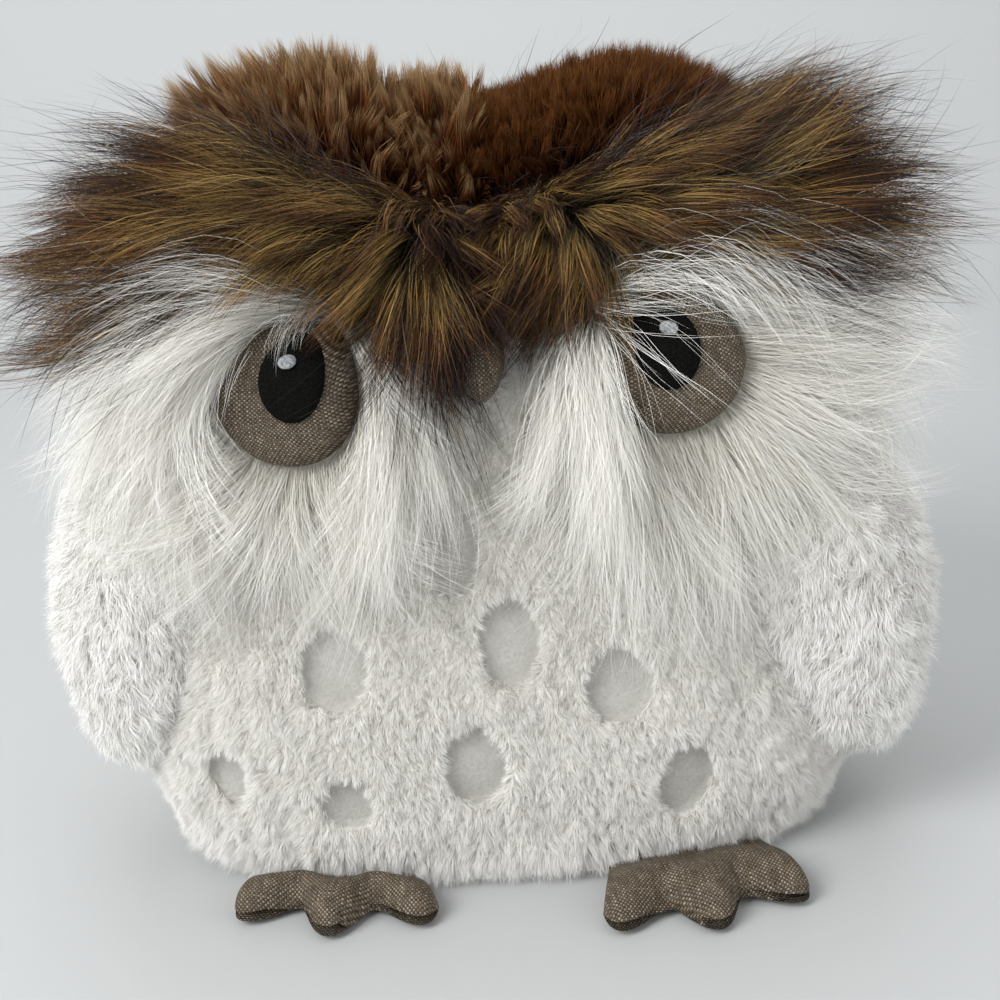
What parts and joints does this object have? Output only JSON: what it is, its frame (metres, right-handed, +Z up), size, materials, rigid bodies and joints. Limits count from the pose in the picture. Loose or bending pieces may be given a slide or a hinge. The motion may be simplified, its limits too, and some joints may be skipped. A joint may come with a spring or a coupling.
{
  "type": "plush owl",
  "caption": "Seated stuffed owl with long brown brow fur, padded linen eyes, wings that lift at their seams and three-toed linen feet.",
  "frame": {"origin": "middle of the flat underside that the owl sits on", "axes": "+Z up, the owl faces -Y, +X towards its own left wing"},
  "size_m": [0.287, 0.188, 0.2371],
  "materials": {
    "white_plush": "white short-pile plush",
    "base_plush": "white plush, pressed flat",
    "white_long_fur": "long white fur",
    "chestnut_pile": "dense upright chestnut pile",
    "brown_fur": "long brown fur with dark tips",
    "taupe_linen": "taupe linen weave with bronze glints",
    "black_felt": "black felt",
    "glint_thread": "grey-white embroidery",
    "polyester_fibre": "loose fibre",
    "pouch_cotton": "plain cotton"
  },
  "bodies": {
    "body": {"body_front_panel": "white_plush", "body_back_panel": "white_plush", "base_panel": "base_plush", "crown_panel": "chestnut_pile", "pellet_pouch": "pouch_cotton", "body_filling": "polyester_fibre", "brow_left": "brown_fur", "brow_right": "brown_fur", "face_patch_left": "white_long_fur", "face_patch_right": "white_long_fur", "eye_disc_left": "taupe_linen", "eye_disc_right": "taupe_linen", "pupil_left": "black_felt", "pupil_right": "black_felt", "eye_glint_left": "glint_thread", "eye_glint_right": "glint_thread", "beak": "taupe_linen"},
    "wing_left": {"wing_left_cover": "white_plush", "wing_left_filling": "polyester_fibre"},
    "wing_right": {"wing_right_cover": "white_plush", "wing_right_filling": "polyester_fibre"},
    "foot_left": {"foot_left_cover": "taupe_linen", "foot_left_filling": "polyester_fibre"},
    "foot_right": {"foot_right_cover": "taupe_linen", "foot_right_filling": "polyester_fibre"}
  },
  "joints": [
    {"name": "wing_left_lift", "type": "hinge", "parent": "body", "child": "wing_left", "pos_m": [0.09603, -0.06001, 0.13001], "axis": [-0.7196, -0.6944, 0], "range_deg": [0, 55]},
    {"name": "wing_right_lift", "type": "hinge", "parent": "body", "child": "wing_right", "pos_m": [-0.10711, -0.04327, 0.13801], "axis": [-0.3397, 0.9405, 0], "range_deg": [0, 55]},
    {"name": "foot_left_lift", "type": "hinge", "parent": "body", "child": "foot_left", "pos_m": [0.05276, -0.07315, 0.007], "axis": [-0.9898, -0.1424, 0], "range_deg": [0, 30]},
    {"name": "foot_right_lift", "type": "hinge", "parent": "body", "child": "foot_right", "pos_m": [-0.05276, -0.07315, 0.007], "axis": [-0.9898, 0.1424, 0], "range_deg": [0, 30]}
  ]
}
